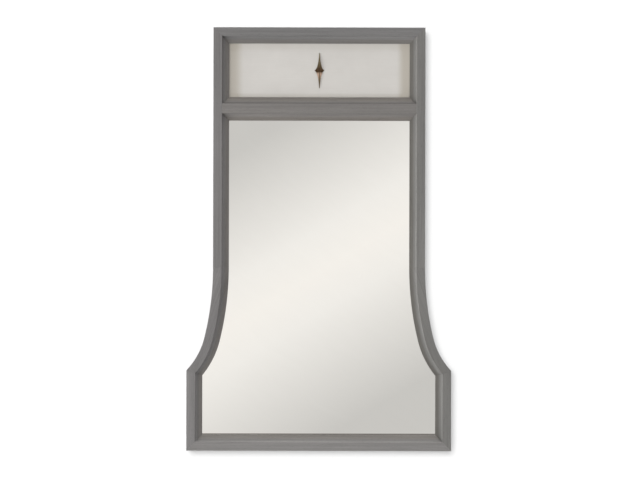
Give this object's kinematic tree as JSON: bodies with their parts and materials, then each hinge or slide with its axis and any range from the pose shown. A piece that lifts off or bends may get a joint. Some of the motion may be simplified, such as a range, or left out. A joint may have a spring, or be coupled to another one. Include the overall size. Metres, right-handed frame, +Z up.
{
  "type": "tapered mirror",
  "caption": "Tall wall mirror in a moulded wood frame, straight above and flared to a wider base, with an ivory panel and a star ornament at the top.",
  "frame": {"origin": "on the wall, midway between the two hooks that the raised hanger rings hang on", "axes": "+Z up, -Y out of the front of the mirror, +Y into the wall, +X to the right as seen from the front"},
  "size_m": [0.762, 0.044, 1.219],
  "materials": {
    "grey_wood": "satin grey stain with faint grain",
    "raw_wood": "bare hardwood",
    "mirror": "plain silvered glass",
    "board": "bare fibreboard",
    "ivory_paint": "ivory satin paint",
    "brass": "dark antique patina",
    "steel": "zinc plated",
    "bumper_rubber": "matt"
  },
  "bodies": {
    "frame": {"top_rail": "grey_wood", "cross_rail": "grey_wood", "bottom_rail": "grey_wood", "left_stile": "grey_wood", "right_stile": "grey_wood", "left_sweep": "grey_wood", "right_sweep": "grey_wood", "left_base_stile": "grey_wood", "right_base_stile": "grey_wood", "corner_dowels": "raw_wood", "shoulder_dowels": "raw_wood", "sweep_dowels": "raw_wood", "cross_rail_dowels": "raw_wood", "mirror_glass": "mirror", "mirror_backer": "board", "ivory_panel": "ivory_paint", "star_ornament": "brass", "ornament_screw": "steel", "back_board": "board", "back_board_screws": "steel", "left_hanger_strap": "steel", "right_hanger_strap": "steel", "hanger_screws": "steel", "wall_bumpers": "bumper_rubber"},
    "left_ring": {"left_hanger_ring": "steel"},
    "right_ring": {"right_hanger_ring": "steel"}
  },
  "joints": [
    {"name": "left_ring_hinge", "type": "hinge", "parent": "frame", "child": "left_ring", "pos_m": [-0.294, -0.0034, -0.01748], "axis": [-1, 0, 0], "range_deg": [0, 181.5]},
    {"name": "right_ring_hinge", "type": "hinge", "parent": "frame", "child": "right_ring", "pos_m": [0.294, -0.0034, -0.01748], "axis": [-1, 0, 0], "range_deg": [0, 181.5]}
  ]
}
